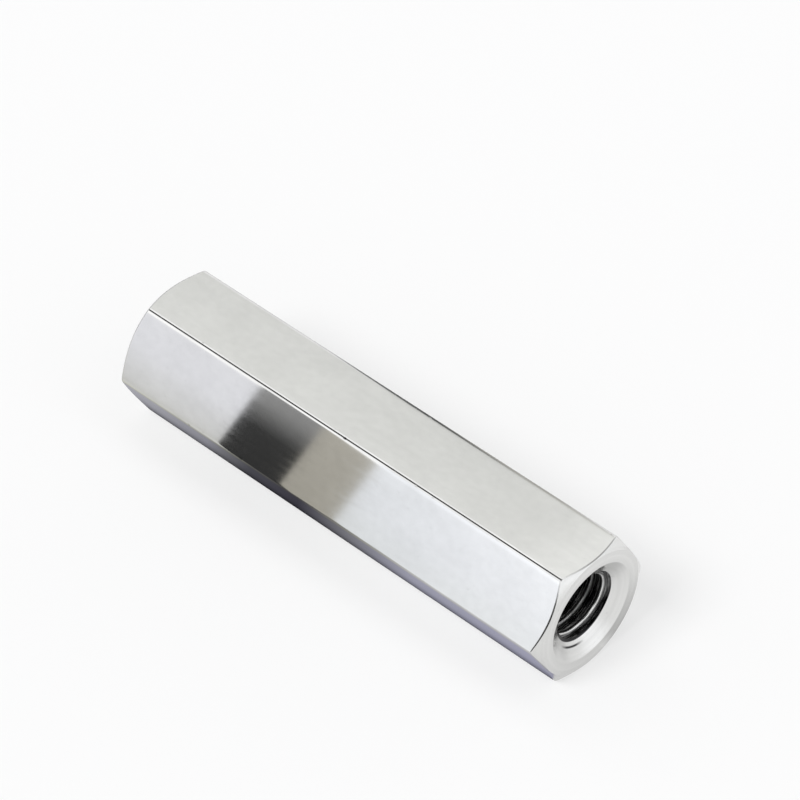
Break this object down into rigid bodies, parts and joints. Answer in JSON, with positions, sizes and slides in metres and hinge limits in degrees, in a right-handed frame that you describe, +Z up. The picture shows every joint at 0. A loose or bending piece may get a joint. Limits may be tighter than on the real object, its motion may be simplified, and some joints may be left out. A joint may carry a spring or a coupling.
{
  "type": "coupling nut",
  "caption": "Long hexagon nut threaded right through, with chamfered and countersunk ends, for joining two threaded rods end to end.",
  "frame": {"origin": "on the floor, below the middle of the nut", "axes": "+X along the thread's axis, +Z up from the flat that the nut lies on"},
  "size_m": [0.04, 0.0114, 0.01],
  "materials": {
    "steel": "bright drawn flats, finely turned ends"
  },
  "bodies": {
    "root": {"coupling_nut": "steel"}
  },
  "joints": []
}
